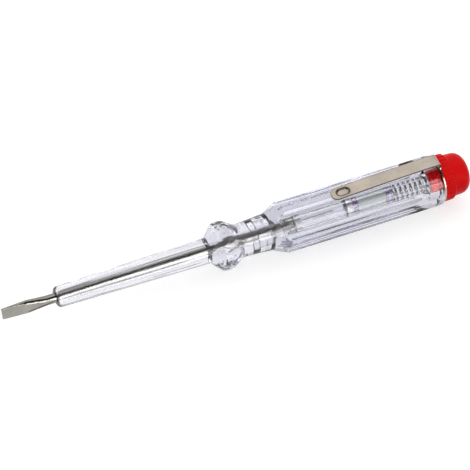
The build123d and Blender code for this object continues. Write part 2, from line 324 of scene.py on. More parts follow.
def divided(points, spacing, least_radius):
    """The outline with its outer runs cut to steps of spacing(station)."""
    cut = []
    for index, here in enumerate(points):
        after = points[(index + 1) % len(points)]
        cut.append(here)
        run = after - here
        if min(here.y, after.y) < least_radius or abs(run.x) < 0.05:
            continue
        steps = max(1, math.ceil(run.length / spacing((here.x + after.x) / 2)))
        cut += [here + run * step / steps for step in range(1, steps)]
    return cut


def spun(name, points, columns, closed=True):
    """Turned piece from outline points in millimetres, spun about the tool's axis."""
    deselect_all()
    bpy.ops.mesh.primitive_circle_add(vertices=len(points), radius=MM, location=(0, 0, 0))
    ob = bpy.context.object
    ob.name = name
    ob.data.name = name
    for vertex, point in zip(ob.data.vertices, points):
        vertex.co = (point.x * MM, 0, point.y * MM)
    bpy.ops.object.mode_set(mode="EDIT")
    if not closed:
        bpy.ops.mesh.select_mode(type="EDGE")
        bpy.ops.mesh.select_all(action="DESELECT")
        bpy.ops.object.mode_set(mode="OBJECT")
        for edge in ob.data.edges:
            edge.select = set(edge.vertices) == {len(points) - 1, 0}
        bpy.ops.object.mode_set(mode="EDIT")
        bpy.ops.mesh.delete(type="EDGE")
        bpy.ops.mesh.select_mode(type="VERT")
    bpy.ops.mesh.select_all(action="SELECT")
    bpy.ops.mesh.spin(steps=columns, angle=TAU, center=(0, 0, 0), axis=(1, 0, 0))
    close_up(ob)
    return ob


def close_up(ob):
    """Merges doubles, turns the faces outwards and goes back to object mode."""
    if ob.mode != "EDIT":
        make_active(ob)
        bpy.ops.object.mode_set(mode="EDIT")
    bpy.ops.mesh.select_all(action="SELECT")
    bpy.ops.mesh.remove_doubles(threshold=2e-6)
    bpy.ops.mesh.delete_loose()
    bpy.ops.mesh.select_all(action="SELECT")
    bpy.ops.mesh.normals_make_consistent(inside=False)
    bpy.ops.object.mode_set(mode="OBJECT")


def points_of(ob):
    """The mesh's points as rows, in metres."""
    flat = np.empty(len(ob.data.vertices) * 3)
    ob.data.vertices.foreach_get("co", flat)
    return flat.reshape(-1, 3)


def put_points(ob, rows):
    """Writes the mesh's points."""
    ob.data.vertices.foreach_set("co", rows.ravel())
    ob.data.update()


def polar(rows):
    """Station, radius and angle from the top towards the near side."""
    return rows[:, 0], np.hypot(rows[:, 1], rows[:, 2]), np.arctan2(-rows[:, 1], rows[:, 2])


def from_polar(x, r, angle):
    """Rows of points from station, radius and angle."""
    return np.stack((x, -r * np.sin(angle), r * np.cos(angle)), axis=1)


def softer(a, b, k):
    """The lesser of two radii, with the edge between them rounded."""
    k = max(k, 1e-9)
    h = np.clip(k - np.abs(a - b), 0, None) / k
    return np.minimum(a, b) - h * h * k / 4


def smooth(ob, degrees=30):
    """Smooth shading up to an angle."""
    make_active(ob)
    bpy.ops.object.shade_smooth_by_angle(angle=math.radians(degrees))


def bevelled(ob, width, segments=2, degrees=30):
    """Bevels the sharp edges of a piece."""
    make_active(ob)
    bpy.ops.object.modifier_add(type="BEVEL")
    bevel = ob.modifiers[-1]
    bevel.width = width
    bevel.segments = segments
    bevel.limit_method = "ANGLE"
    bevel.angle_limit = math.radians(degrees)
    bpy.ops.object.modifier_apply(modifier=bevel.name)


def fit_out(ob, body, slot, nodes, look=""):
    """Gives a finished piece its material, slot, body and the CAD nodes it stands for.

    A piece that joins two bodies is given no body here.
    """
    ob.data.materials.clear()
    ob.data.materials.append(bpy.data.materials[look or LOOKS[slot]])
    if body:
        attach(ob, body)
    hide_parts(*nodes)
    return ob


# Materials
GRAIN_DEPTH = 0.03 * MM


def new_material(name):
    """An empty node material with its output and Principled shader."""
    mat = bpy.data.materials.new(name)
    mat.use_nodes = True
    nodes = mat.node_tree.nodes
    return mat, nodes, mat.node_tree.links, nodes["Principled BSDF"]


def add_noise(nodes, links, scale, detail=3.0, stretch=(1.0, 1.0, 1.0)):
    """A noise on Object coordinates, stretched by a Mapping node."""
    coordinates = nodes.new("ShaderNodeTexCoord")
    mapping = nodes.new("ShaderNodeMapping")
    mapping.inputs["Scale"].default_value = stretch
    noise = nodes.new("ShaderNodeTexNoise")
    noise.inputs["Scale"].default_value = scale
    noise.inputs["Detail"].default_value = detail
    noise.inputs["Roughness"].default_value = 0.5
    links.new(coordinates.outputs["Object"], mapping.inputs["Vector"])
    links.new(mapping.outputs["Vector"], noise.inputs["Vector"])
    return noise


def add_range(nodes, links, source, low, high, start=0.3, end=0.7):
    """Maps a noise to a range."""
    node = nodes.new("ShaderNodeMapRange")
    node.inputs["From Min"].default_value = start
    node.inputs["From Max"].default_value = end
    node.inputs["To Min"].default_value = low
    node.inputs["To Max"].default_value = high
    links.new(source, node.inputs["Value"])
    return node.outputs["Result"]


def add_bump(nodes, links, source, shader, strength, distance):
    """Bump from a noise."""
    bump = nodes.new("ShaderNodeBump")
    bump.inputs["Strength"].default_value = strength
    bump.inputs["Distance"].default_value = distance
    links.new(source, bump.inputs["Height"])
    links.new(bump.outputs["Normal"], shader.inputs["Normal"])


def add_tones(nodes, links, source, dark, light, shader):
    """Base colour that moves between two tones."""
    ramp = nodes.new("ShaderNodeValToRGB")
    ramp.color_ramp.elements[0].position = 0.3
    ramp.color_ramp.elements[1].position = 0.7
    ramp.color_ramp.elements[0].color = (*dark, 1)
    ramp.color_ramp.elements[1].color = (*light, 1)
    links.new(source, ramp.inputs["Fac"])
    links.new(ramp.outputs["Color"], shader.inputs["Base Color"])


def toned(base, factor):
    """A colour times a factor, held under one."""
    return tuple(min(1.0, channel * factor) for channel in base)


def stations(nodes, links, low, high, first, last):
    """Maps the way between two stations, in millimetres, to a range."""
    coordinates = nodes.new("ShaderNodeTexCoord")
    parts = nodes.new("ShaderNodeSeparateXYZ")
    links.new(coordinates.outputs["Object"], parts.inputs["Vector"])
    return add_range(nodes, links, parts.outputs["X"], low, high, first * MM, last * MM)


def held_between(nodes, links, source, start, end, fade=2):
    """A pattern that fades out before and after two stations, in millimetres."""
    for low, high, first, last in ((0, 1, start, start + fade), (1, 0, end - fade, end)):
        share_here = nodes.new("ShaderNodeMath")
        share_here.operation = "MULTIPLY"
        links.new(source, share_here.inputs[0])
        links.new(stations(nodes, links, low, high, first, last), share_here.inputs[1])
        source = share_here.outputs["Value"]
    return source


def clear_material(name, tint, depth_tint=None, density=0.0, ior=1.49, ripples=(), edge=1.0):
    """Clear plastic or glass that lets light through, with painted shade where it is seen edge on."""
    mat, nodes, links, shader = new_material(name)
    shader.inputs["Base Color"].default_value = (*tint, 1)
    # Painted shade: the base colour darkens towards a darker tint where the surface is seen edge on
    if edge < 1:
        weight = nodes.new("ShaderNodeLayerWeight")
        mix = nodes.new("ShaderNodeMix")
        mix.data_type = "RGBA"
        mix.inputs[6].default_value = (*tint, 1)
        mix.inputs[7].default_value = (*toned(tint, edge), 1)
        links.new(add_range(nodes, links, weight.outputs["Facing"], 0, 1, 0.45, 0.9), mix.inputs[0])
        links.new(mix.outputs[2], shader.inputs["Base Color"])
    shader.inputs["Transmission Weight"].default_value = 1.0
    shader.inputs["IOR"].default_value = ior
    fine = add_noise(nodes, links, 900.0, 2.0)
    links.new(add_range(nodes, links, fine.outputs["Fac"], 0.0, 0.008), shader.inputs["Roughness"])
    for ripple in ripples:
        broad = add_noise(nodes, links, ripple["scale"], 1.0, (ripple["stretch"], 1.0, 1.0))
        before = shader.inputs["Normal"].links
        before = before[0].from_socket if before else None
        skin = held_between(nodes, links, broad.outputs["Fac"], ripple["start"], ripple["end"])
        add_bump(nodes, links, skin, shader, 1.0, ripple["height"])
        if before:
            links.new(before, shader.inputs["Normal"].links[0].from_node.inputs["Normal"])
    out = nodes["Material Output"]
    path = nodes.new("ShaderNodeLightPath")
    clear = nodes.new("ShaderNodeBsdfTransparent")
    clear.inputs["Color"].default_value = (*toned(tint, 0.97), 1)
    mix = nodes.new("ShaderNodeMixShader")
    links.new(path.outputs["Is Shadow Ray"], mix.inputs["Fac"])
    links.new(shader.outputs["BSDF"], mix.inputs[1])
    links.new(clear.outputs["BSDF"], mix.inputs[2])
    links.new(mix.outputs["Shader"], out.inputs["Surface"])
    if density:
        volume = nodes.new("ShaderNodeVolumeAbsorption")
        volume.inputs["Color"].default_value = (*depth_tint, 1)
        volume.inputs["Density"].default_value = density
        links.new(volume.outputs["Volume"], out.inputs["Volume"])
    return mat


def metal_material(name, base, low, high, stretch=1.0, bump=0.0, rim=None, dull=()):
    """Plated metal, its gloss broken by fine lines or grain, duller from some stations on, and with painted
    shade from the rim attribute where a shade tone is given.
    """
    mat, nodes, links, shader = new_material(name)
    shader.inputs["Metallic"].default_value = 1.0
    grain = add_noise(nodes, links, 1500.0, 4.0, (stretch, 1.0, 1.0))
    links.new(add_range(nodes, links, grain.outputs["Fac"], low, high), shader.inputs["Roughness"])
    patches = add_noise(nodes, links, 220.0, 3.0)
    add_tones(nodes, links, patches.outputs["Fac"], toned(base, 0.88), toned(base, 1.12), shader)
    for start, amount in dull:
        gloss = shader.inputs["Roughness"].links[0].from_socket
        duller = nodes.new("ShaderNodeMath")
        links.new(gloss, duller.inputs[0])
        links.new(stations(nodes, links, 0, amount, start, start + 1), duller.inputs[1])
        links.new(duller.outputs["Value"], shader.inputs["Roughness"])
    if bump:
        add_bump(nodes, links, grain.outputs["Fac"], shader, bump, GRAIN_DEPTH)
    # Painted shade: the base colour darkens towards the rim tone where the mesh's rim attribute is high
    if rim:
        tones = shader.inputs["Base Color"].links[0].from_socket
        painted_shade_mask = nodes.new("ShaderNodeAttribute")
        painted_shade_mask.attribute_name = "rim"
        mix = nodes.new("ShaderNodeMix")
        mix.data_type = "RGBA"
        mix.inputs[7].default_value = (*rim, 1)
        links.new(painted_shade_mask.outputs["Fac"], mix.inputs[0])
        links.new(tones, mix.inputs[6])
        links.new(mix.outputs[2], shader.inputs["Base Color"])
    return mat


def solid_material(name, base, low, high, gloss=0.5):
    """Opaque moulded plastic or ceramic with a fine grain."""
    mat, nodes, links, shader = new_material(name)
    grain = add_noise(nodes, links, 700.0, 4.0)
    links.new(add_range(nodes, links, grain.outputs["Fac"], low, high), shader.inputs["Roughness"])
    patches = add_noise(nodes, links, 180.0, 2.0)
    add_tones(nodes, links, patches.outputs["Fac"], toned(base, 0.94), toned(base, 1.06), shader)
    add_bump(nodes, links, grain.outputs["Fac"], shader, 0.15, GRAIN_DEPTH)
    shader.inputs["Specular IOR Level"].default_value = gloss
    return mat


# Shared shape of the flutes
def cut_flutes(ob, settings, with_flats):
    """Presses the flutes, and on the grip the flat lands, into a turned piece."""
    x, r, angle = polar(points_of(ob))
    pitch = TAU / settings.flutes
    half_pitch = pitch / 2
    edge = half_pitch * settings.flute_share
    crowd = settings.crowding * half_pitch / TAU
    moved = angle - crowd * np.sin((angle - edge) * TAU / half_pitch)
    local = moved % pitch
    from_flute = np.abs(local - half_pitch)
    from_land = np.minimum(local, pitch - local)
    floor_radius = settings.grip_radius - settings.flute_depth
    half_chord = settings.grip_radius * math.sin(edge)
    sagitta = settings.grip_radius * math.cos(edge) - floor_radius
    cutter = (half_chord**2 + sagitta**2) / (2 * sagitta)
    height = floor_radius + cutter
    beyond = np.clip(x - (settings.flute_end - cutter), 0, None)
    section = np.sqrt(np.clip(cutter**2 - beyond**2, 0, None))
    across = height * np.sin(from_flute)
    reach = np.sqrt(np.clip(section**2 - across**2, 0, None))
    flute = np.where(across < section, height * np.cos(from_flute) - reach, settings.grip_radius * 2)
    if with_flats:
        r = softer(r, settings.land_height / np.cos(from_land), settings.edge_softness / 4)
    put_points(ob, from_polar(x, softer(r, flute, settings.edge_softness), moved))


# Pieces
class TESTER_OT_handle(Operator):
    """Build the clear fluted grip"""

    bl_idname = "tester.handle"
    bl_label = "Handle"

    def execute(self, context):
        settings = context.scene.tester_handle
        front, rear = ends("handle")
        neck_rear = ends("blade_sleeve")[1]
        flange_front = ends("touch_contact")[0]
        grip, neck, seam = in_mm(settings, "grip_radius", "neck_radius", "seam_radius")
        shoulder, collar, drop = in_mm(settings, "shoulder", "collar", "collar_drop")
        socket, rod_bore, works_bore, plug_bore = in_mm(
            settings, "socket_radius", "rod_bore", "works_bore", "plug_bore"
        )
        web, flute_end = in_mm(settings, "web", "flute_end")
        chamfer = 0.2
        fine, soft = 0.06, 0.8
        socket_floor = neck_rear + SEAT
        corners = [
            (front, socket, 0),
            (front, seam - chamfer, fine),
            (front + chamfer, seam, fine),
            (neck_rear, neck, soft),
            (neck_rear + shoulder, grip, soft),
            (rear - collar, grip, 1.225),
            (rear, grip - drop, 0.4),
            (rear, plug_bore + chamfer, 0.08),
            (rear - chamfer, plug_bore, 0.08),
            (flange_front, plug_bore, 0),
            (flange_front - plug_bore + works_bore, works_bore, 0),
            (socket_floor + web, works_bore, soft),
            (socket_floor + web, rod_bore, 0),
            (socket_floor, rod_bore, 0),
            (socket_floor, socket, 0.1),
        ]

        def spacing(x):
            """Short steps where the flutes run out, and long ones between."""
            at_shoulder = neck_rear - 0.4 < x < neck_rear + shoulder + 2
            at_run_out = flute_end - 5.2 < x < flute_end + 1.8
            return 0.22 if at_shoulder or at_run_out else 1.1

        outer_side = 4.6
        points = divided(rounded(corners), spacing, outer_side)
        ob = spun("handle_grip", points, settings.columns)
        cut_flutes(ob, settings, True)
        smooth(ob)
        fit_out(ob, "tester", "clear_plastic", ["handle"])
        return {"FINISHED"}


class TESTER_OT_sleeve(Operator):
    """Build the clear blade sleeve with the guard bead"""

    bl_idname = "tester.sleeve"
    bl_label = "Blade sleeve"

    def execute(self, context):
        handle = context.scene.tester_handle
        settings = context.scene.tester_sleeve
        front, rear = ends("blade_sleeve")
        seam_station = ends("handle")[0]
        rod_bore, seam = in_mm(handle, "rod_bore", "seam_radius")
        nose, root, bead, neck, spigot = in_mm(
            settings, "nose_radius", "root_radius", "bead_radius", "neck_radius", "spigot_radius"
        )
        bead_front, crown_front, crown_rear, bead_rear = in_mm(
            settings, "bead_front", "crown_front", "crown_rear", "bead_rear"
        )
        chamfer = 0.2
        fine = 0.06
        corners = [
            (front, rod_bore, 0.04),
            (front, nose, 1.2),
            (bead_front, root, 0),
            (crown_front, bead, 2.0),
            (crown_rear, bead, 3.0),
            (bead_rear, neck, 1.5),
            (seam_station - chamfer, seam, fine),
            (seam_station, seam - chamfer, fine),
            (seam_station, spigot, 0),
            (rear, spigot, 0.15),
            (rear, rod_bore, 0),
        ]

        def spacing(x):
            """Short steps over the bead."""
            return 0.18 if bead_front - 0.5 < x < bead_rear + 0.7 else 1.6

        outer_side = 2.5
        points = divided(rounded(corners), spacing, outer_side)
        ob = spun("blade_sleeve_clear", points, handle.columns)
        cut_flutes(ob, handle, False)
        smooth(ob)
        fit_out(ob, "tester", "clear_plastic", ["blade_sleeve"], "clear_sleeve")
        return {"FINISHED"}


class TESTER_OT_blade(Operator):
    """Build the plated blade with its ground tip"""

    bl_idname = "tester.blade"
    bl_label = "Blade"

    def execute(self, context):
        settings = context.scene.tester_blade
        ear_front = ends("blade_sleeve")[1] + SEAT
        ob = self.turn_rod(settings, ear_front)
        self.flatten(ob, settings)
        self.grind(ob, settings)
        self.press_ears(ob, settings, ear_front)
        bevelled(ob, 0.03 * MM, 2, 25)
        smooth(ob, 25)
        ob.data.transform(Matrix.Rotation(math.pi / 2 - settings.roll, 4, "X"))
        fit_out(ob, "tester", "blade_steel", ["blade"])
        return {"FINISHED"}

    def turn_rod(self, settings, ear_front):
        """Round rod with rings close together at the flattened part and at the ears."""
        radius = settings.rod_radius / MM
        ear_rear = ear_front + in_mm(settings, "ear_length")[0]
        sleeve_front, seat = ends("blade_sleeve")[0], ends("blade")[1]
        outline = [Vector((0.0, 0.0)), Vector((0.0, radius))]
        places = [*np.linspace(0.25, sleeve_front, 62), 30, 45, 60, 75, ear_front]
        places += [*np.linspace(ear_front + 0.13, ear_rear, 14)]
        outline += [Vector((x, radius)) for x in places]
        outline += rounded([(seat - 2.27, radius, 0), (seat, radius, 0.6), (seat, 0.0, 0)])
        return spun("blade_rod", outline, 96, closed=False)

    def flatten(self, ob, settings):
        """Widens and thins the rod towards its front."""
        radius, tip, flare_width, flare_thickness = in_mm(
            settings, "rod_radius", "tip_width", "flare_width", "flare_thickness"
        )
        flare, flare_end = in_mm(settings, "flare", "flare_end")
        rows = points_of(ob)
        x = rows[:, 0] / MM
        places = (0, flare, flare_end)
        turned = settings.rod_radius / MM
        rows[:, 1] *= np.interp(x, places, (tip / 2, flare_width / 2, radius)) / turned
        rows[:, 2] *= np.interp(x, places, (radius, flare_thickness / 2, radius)) / turned
        put_points(ob, rows)

    def grind(self, ob, settings):
        """Cuts the two ground faces of the tip."""
        radius, thickness, ground = in_mm(settings, "rod_radius", "tip_thickness", "grind")
        slope = math.atan((radius - thickness / 2) / ground)
        make_active(ob)
        bpy.ops.object.mode_set(mode="EDIT")
        for side in (1, -1):
            bpy.ops.mesh.select_all(action="SELECT")
            bpy.ops.mesh.bisect(
                plane_co=(0, 0, side * thickness / 2 * MM),
                plane_no=(-math.sin(slope), 0, side * math.cos(slope)),
                use_fill=True,
                clear_outer=True,
            )
        close_up(ob)

    def press_ears(self, ob, settings, front):
        """Presses the two ears that key the rod in the grip."""
        radius, ear_length, reach, thickness = in_mm(
            settings, "rod_radius", "ear_length", "ear_reach", "ear_thickness"
        )
        rear = front + ear_length
        ramp = 0.3 * ear_length
        rows = points_of(ob)
        x, y, z = rows.T / MM
        rise = np.interp(x, [front, front + ramp, rear - ramp, rear], [0, 1, 1, 0])
        on_ear = np.abs(z) < thickness / 2
        lift = rise * (reach - np.sqrt(np.clip(radius**2 - z**2, 0, None)))
        rows[:, 1] = np.where(on_ear, y + np.sign(y) * lift, y) * MM
        put_points(ob, rows)


class TESTER_OT_works(Operator):
    """Build the lamp, the resistor and the contact spring"""

    bl_idname = "tester.works"
    bl_label = "Lamp, resistor and spring"

    def execute(self, context):
        settings = context.scene.tester_works
        self.make_tube(settings)
        self.make_caps(settings)
        self.make_electrodes(settings)
        self.make_resistor(settings)
        self.make_spring(settings)
        return {"FINISHED"}

    def make_tube(self, settings):
        """Glass tube of the lamp."""
        front, rear = ends("lamp_glass")
        radius, bore = in_mm(settings, "tube_radius", "tube_bore")
        melted = 0.35
        corners = [(front, bore, 0), (front, radius, melted), (rear, radius, melted), (rear, bore, 0)]
        ob = spun("lamp_tube", rounded(corners), 64)
        smooth(ob, 40)
        fit_out(ob, "tester", "lamp_glass", ["lamp_glass"])

    def make_caps(self, settings):
        """Contact caps of the lamp and of the resistor."""
        lamp, resistor, body = in_mm(settings, "lamp_cap", "resistor_cap", "resistor_radius")
        lamp_cup = {"radius": lamp, "bore": lamp - 0.15, "floor": 0.4, "edge": 0.2, "rim": 0.04}
        small_cup = {"radius": resistor, "bore": body, "floor": 0.35, "edge": 0.25, "rim": 0.06}
        for node, cup, way, slot in (
            ("lamp_front_cap", lamp_cup, 1, "plated_contact"),
            ("lamp_rear_cap", lamp_cup, -1, "plated_contact"),
            ("resistor_front_cap", small_cup, 1, "violet_contact"),
            ("resistor_rear_cap", small_cup, -1, "violet_contact"),
        ):
            front, rear = ends(node)
            start, depth = front if way > 0 else rear, round(rear - front, 2)
            corners = [
                (0, 0, 0),
                (0, cup["radius"], cup["edge"]),
                (depth, cup["radius"], 0.06),
                (depth, cup["bore"], cup["rim"]),
                (cup["floor"], cup["bore"], 0),
                (cup["floor"], 0, 0),
            ]
            placed = [Vector((start + way * p.x, p.y)) for p in rounded(corners)]
            ob = spun(node + "_shell", placed, 64, closed=False)
            smooth(ob, 40)
            fit_out(ob, "tester", slot, [node])

    def make_electrodes(self, settings):
        """Two straight wires, one over and one under the axis."""
        radius, offset = in_mm(settings, "electrode_radius", "electrode_offset")
        for node, way in (("lamp_front_electrode", 1), ("lamp_rear_electrode", -1)):
            front, rear = ends(node)
            start, reach = front if way > 0 else rear, round(rear - front, 2)
            wire = rounded([(0, 0, 0), (0, radius, 0), (reach, radius, 0.12), (reach, 0, 0)])
            placed = [Vector((start + way * p.x, p.y)) for p in wire]
            ob = spun(node + "_wire", placed, 24, closed=False)
            rows = points_of(ob)
            rows[:, 2] += way * offset * MM
            put_points(ob, rows)
            smooth(ob, 40)
            fit_out(ob, "tester", "plated_contact", [node], "dull_wire")

    def make_resistor(self, settings):
        """Ceramic rod of the resistor."""
        front, rear = ends("resistor_body")
        (radius,) = in_mm(settings, "resistor_radius")
        edge = 0.1
        body = rounded([(front, 0, 0), (front, radius, edge), (rear, radius, edge), (rear, 0, 0)])
        ob = spun("resistor_rod", body, 64, closed=False)
        smooth(ob, 40)
        fit_out(ob, "tester", "resistor_ceramic", ["resistor_body"])

    def make_spring(self, settings):
        """Compression spring with closed end turns."""
        deselect_all()
        front, rear = ends("contact_spring")
        wire, radius = in_mm(settings, "wire", "coil_radius")
        end_quarters, open_quarters, steps = 4, 22, 8
        closed_rise = 0.2375
        room = rear - front - wire - 2 * end_quarters * closed_rise
        closed = [closed_rise] * end_quarters
        rises = closed + [room / open_quarters] * open_quarters + closed
        places = [front + wire / 2]
        for rise in rises:
            places += [places[-1] + rise * (step + 1) / steps for step in range(steps)]
        bpy.ops.curve.primitive_bezier_curve_add(location=(0, 0, 0))
        ob = bpy.context.object
        ob.name = "contact_spring_coil"
        curve = ob.data
        curve.splines.clear()
        spline = curve.splines.new("POLY")
        spline.points.add(len(places) - 1)
        for index, x in enumerate(places):
            angle = index / steps * math.pi / 2
            y = -radius * math.sin(angle)
            z = radius * math.cos(angle)
            spline.points[index].co = (x * MM, y * MM, z * MM, 1)
        curve.dimensions = "3D"
        curve.bevel_depth = settings.wire / 2
        curve.bevel_resolution = 4
        curve.use_fill_caps = True
        make_active(ob)
        bpy.ops.object.convert(target="MESH")
        close_up(ob)
        smooth(ob, 50)
        fit_out(ob, "", "spring_steel", ["contact_spring"])
        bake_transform(ob)


class TESTER_OT_cap(Operator):
    """Build the red screw cap with its thread and ribs"""

    bl_idname = "tester.cap"
    bl_label = "Screw cap"

    def execute(self, context):
        settings = context.scene.tester_cap
        front, rear = ends("cap")
        ring_rear = ends("clip_ring")[1]
        rim = ring_rear + RUNNING
        plug, rim_radius, body, shank, head = in_mm(
            settings, "plug_radius", "rim_radius", "body_radius", "shank_radius", "head_radius"
        )
        rib_length, rear_round = in_mm(settings, "rib_length", "rear_round")
        body_front = rim + rib_length + 0.5
        chamfer, recess, taper = 0.2, 0.8, 0.2
        corners = [
            (front, shank + RUNNING, 0.08),
            (front, plug - chamfer, 0.1),
            (front + chamfer, plug, 0.1),
            (rim, plug, 0),
            (rim, rim_radius, 0.22),
            (rim + rib_length, rim_radius - 0.1, 0.15),
            (body_front, body, 0.2),
            (rear, body - taper, rear_round),
            (rear, head + RUNNING, 0.12),
            (rear - recess, head + RUNNING, 0),
            (rear - recess, shank + RUNNING, 0.08),
        ]

        def spacing(x):
            """Short steps over the thread."""
            return 0.085 if x < rim - 0.1 else 0.16

        inner_side = 2.3
        points = divided(rounded(corners), spacing, inner_side)
        ob = spun("cap_red", points, 288)
        x, r, angle = polar(points_of(ob))
        x = x / MM
        r = r - self.thread(settings, x, r / MM, angle, front, plug, ring_rear)
        r = r - self.grooves(settings, x, r, angle, rim, body_front)
        put_points(ob, from_polar(x * MM, r, angle))
        smooth(ob, 40)
        fit_out(ob, "cap", "red_plastic", ["cap"])
        return {"FINISHED"}

    def thread(self, settings, x, r, angle, front, plug, ring_rear):
        """How deep the thread's groove is at each point of the plug, in metres."""
        turn = (x / (settings.thread_pitch / MM) - angle / TAU) % 1.0
        crest = np.abs(turn - 0.5) * 2
        flat = 0.12
        profile = np.clip((crest - flat) / (1 - 2 * flat), 0, 1)
        start, end = front + 0.05, ring_rear - 0.1
        on_thread = (r > plug - 0.25) * (r < plug + 0.02) * (x < ring_rear) * (x > start)
        fade = np.clip((x - start) / 0.5, 0, 1) * np.clip((end - x) / 0.25, 0, 1)
        return on_thread * fade * profile * settings.thread_depth

    def grooves(self, settings, x, r, angle, rim, body_front):
        """How deep the grooves between the ribs are at each point, in metres."""
        groove = np.clip((np.cos(angle * settings.ribs) + 0.4) / 1.2, 0, 1)
        groove = groove * groove * (3 - 2 * groove)
        start, end, run = rim + 0.55, body_front - 0.05, 0.4
        along = np.clip((x - start) / run, 0, 1) * np.clip((end - x) / run, 0, 1)
        return np.clip(r - settings.groove_floor, 0, None) * groove * along


class TESTER_OT_contact(Operator):
    """Build the touch contact that runs through the cap"""

    bl_idname = "tester.contact"
    bl_label = "Touch contact"

    def execute(self, context):
        settings = context.scene.tester_cap
        front, rear = ends("touch_contact")
        flange, shank, head = in_mm(settings, "flange_radius", "shank_radius", "head_radius")
        flange_rear, head_front = front + 0.8, rear - 0.9
        dish_radius, dish_depth = 1.1, 0.18
        corners = [
            (front, 0, 0),
            (front, flange, 0.2),
            (flange_rear, flange, 0.1),
            (flange_rear, shank, 0.1),
            (head_front, shank, 0),
            (head_front, head, 0.08),
            (rear, head, 0.3),
            (rear, dish_radius, 0.3),
            (rear - dish_depth, 0, 0),
        ]
        ob = spun("touch_contact_stud", rounded(corners), 96, closed=False)
        smooth(ob, 40)
        fit_out(ob, "touch_contact", "plated_contact", ["touch_contact"])
        return {"FINISHED"}


class TESTER_OT_clip(Operator):
    """Build the pocket clip's ring and arm"""

    bl_idname = "tester.clip"
    bl_label = "Pocket clip"

    def execute(self, context):
        settings = context.scene.tester_clip
        turn = Matrix.Rotation(settings.turn, 4, "X")
        for ob, body, node in (
            (self.make_ring(settings), "clip_ring", "clip_ring"),
            (self.make_arm(settings), "clip_arm", "clip_arm"),
        ):
            ob.data.transform(turn)
            fit_out(ob, body, "clip_nickel", [node])
        return {"FINISHED"}

    def make_ring(self, settings):
        """Washer with the tab that carries the arm."""
        front, rear = ends("clip_ring")
        bore, radius, sheet, width = in_mm(settings, "ring_bore", "ring_radius", "sheet", "width")
        corners = [(front, bore), (front, radius), (rear, radius), (rear, bore)]
        edge = 0.06
        ob = spun("clip_washer", rounded([(*corner, edge) for corner in corners], 3), 192)
        rows = points_of(ob)
        _, y, z = rows.T / MM
        reach = np.hypot(y, z)
        tab = (np.abs(y) < width / 2) * (z > 0) * (reach > radius - sheet)
        rows[:, 2] = np.where(tab, z + radius + sheet - reach.clip(0, radius), z) * MM
        put_points(ob, rows)
        smooth(ob, 35)
        return ob

    def make_arm(self, settings):
        """Spring arm, bent down to the ring at its rear."""
        front, rear = ends("clip_arm")
        deselect_all()
        bpy.ops.mesh.primitive_grid_add(x_subdivisions=180, y_subdivisions=48, size=1, location=(0, 0, 0))
        ob = bpy.context.object
        ob.name = "clip_spring_arm"
        rows = points_of(ob)
        x, z = self.side_line(settings, rows[:, 0] + 0.5, front, rear)
        y = rows[:, 1] * 2 * self.half_width(settings, x, front)
        z = z - self.dimple_at(settings, x, y)
        y = y - self.lean_at(settings, x, front, rear)
        put_points(ob, np.stack((x, y, z), axis=1) * MM)
        make_active(ob)
        bpy.ops.object.modifier_add(type="SOLIDIFY")
        sheet = ob.modifiers[-1]
        sheet.thickness = settings.sheet
        sheet.offset = 0
        bpy.ops.object.modifier_apply(modifier=sheet.name)
        close_up(ob)
        bevelled(ob, 0.07 * MM, 2, 60)
        smooth(ob, 35)
        # Painted shade: how much darkness to paint at the arm's rim and at the dimple's wall, kept in the
        # rim attribute
        painted_shade_mask = self.painted_shade_at(settings, points_of(ob), front, rear)
        ob.data.attributes.new("rim", "FLOAT", "POINT").data.foreach_set("value", painted_shade_mask)
        return ob

    def side_line(self, settings, share_along, front, rear):
        """Station and height of the sheet's middle, from the front round the bend to the ring."""
        bend, top_front, top_rear, sheet, ring_radius = in_mm(
            settings, "bend", "top_front", "top_rear", "sheet", "ring_radius"
        )
        foot = ring_radius + sheet + SEAT
        slope = (top_rear - top_front) / (rear - front)
        along = np.interp(share_along, (0, 0.6, 0.8, 1), (0, 0.26, 0.9, 1))
        straight = rear - sheet / 2 - bend - front
        arc = bend * math.pi / 2
        drop = top_rear - sheet / 2 - bend - foot
        way = along * (straight + arc + drop)
        angle = np.clip((way - straight) / bend, 0, math.pi / 2)
        x = front + np.minimum(way, straight) + bend * np.sin(angle)
        height = top_front - sheet / 2 + slope * (x - front)
        return x, height - bend * (1 - np.cos(angle)) - np.clip(way - straight - arc, 0, None)

    def half_width(self, settings, x, front):
        """Half the arm's width, less in its round front."""
        width, nose = in_mm(settings, "width", "nose")
        tip = np.clip(nose - (x - front), 0, nose)
        return width / 2 - nose + np.sqrt(np.clip(nose**2 - tip**2, 0, None))

    def from_dimple(self, settings, x, y):
        """Distance from the line through the dimple's middle."""
        middle, run = in_mm(settings, "dimple", "dimple_run")
        return np.hypot(np.clip(np.abs(x - middle) - run, 0, None), y)

    def dimple_at(self, settings, x, y):
        """How deep the dimple is."""
        edge, depth = in_mm(settings, "dimple_radius", "dimple_depth")
        wall = 0.55
        press = 1 - np.clip((self.from_dimple(settings, x, y) - (edge - wall)) / wall, 0, 1)
        return depth * press * press * (3 - 2 * press)

    def lean_at(self, settings, x, front, rear):
        """How far aside the arm has been bent."""
        return settings.lean / MM * ((rear - x).clip(0) / (rear - front)) ** 1.6

    def painted_shade_at(self, settings, rows, front, rear):
        """How much painted shade each point gets, most at the arm's rim and at the dimple's wall."""
        width, nose, edge = in_mm(settings, "width", "nose", "dimple_radius")
        x, y, _ = rows.T / MM
        y = np.abs(y + self.lean_at(settings, x, front, rear))
        over_front = np.clip(x - front - nose, None, 0)
        over_side = np.clip(y - width / 2 + nose, 0, None)
        inside = nose - np.hypot(over_front, over_side)
        rim, wall_middle, wall = 0.2, edge - 0.25, 0.35
        on_wall = 1.25 - np.abs(self.from_dimple(settings, x, y) - wall_middle) / wall
        return np.clip(np.maximum(1 - inside / rim, on_wall), 0, 1) * settings.painted_shade_share


